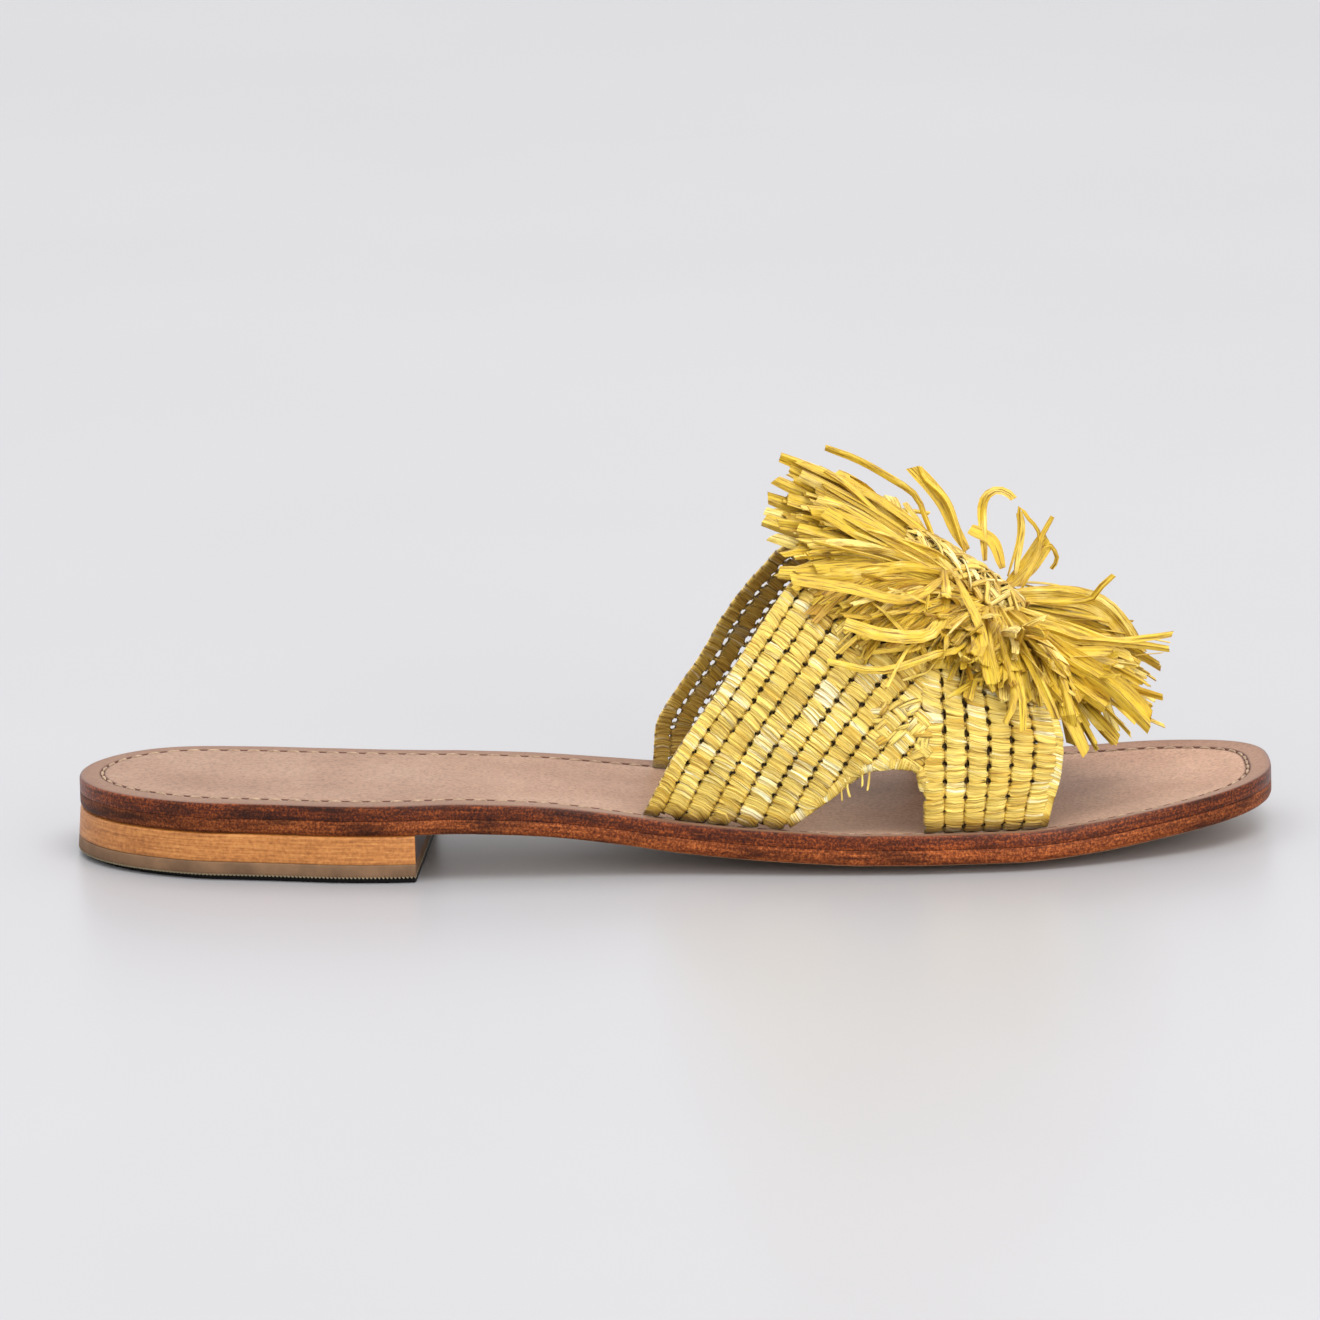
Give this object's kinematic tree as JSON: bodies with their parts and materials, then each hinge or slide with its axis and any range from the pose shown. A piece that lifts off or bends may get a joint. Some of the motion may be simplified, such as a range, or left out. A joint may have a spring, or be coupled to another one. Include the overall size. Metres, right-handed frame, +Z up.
{
  "type": "mule",
  "caption": "Flat leather slide mule for a right foot, with a low stacked heel, an open woven raffia vamp with side cut-outs and a raffia pompom.",
  "frame": {"origin": "on the floor, under the middle of the sole's length and width", "axes": "+X from heel to toe, +Y to the inner side of the foot, +Z up"},
  "size_m": [0.2568, 0.0821, 0.0852],
  "materials": {
    "insole_leather": "smooth beige leather with a dark brown edge",
    "outsole_leather": "burnished brown edge",
    "heel_stack": "polished stacked leather, tan",
    "heel_rubber": "matt",
    "raffia_weave": "woven raffia, satin",
    "raffia_fibre": "loose raffia strips, satin",
    "raffia_tie": "twined raffia"
  },
  "bodies": {
    "root": {"insole": "insole_leather", "outsole": "outsole_leather", "heel_lift": "heel_stack", "heel_top_piece": "heel_rubber", "upper": "raffia_weave", "pompom": "raffia_fibre", "pompom_tie": "raffia_tie"}
  },
  "joints": []
}
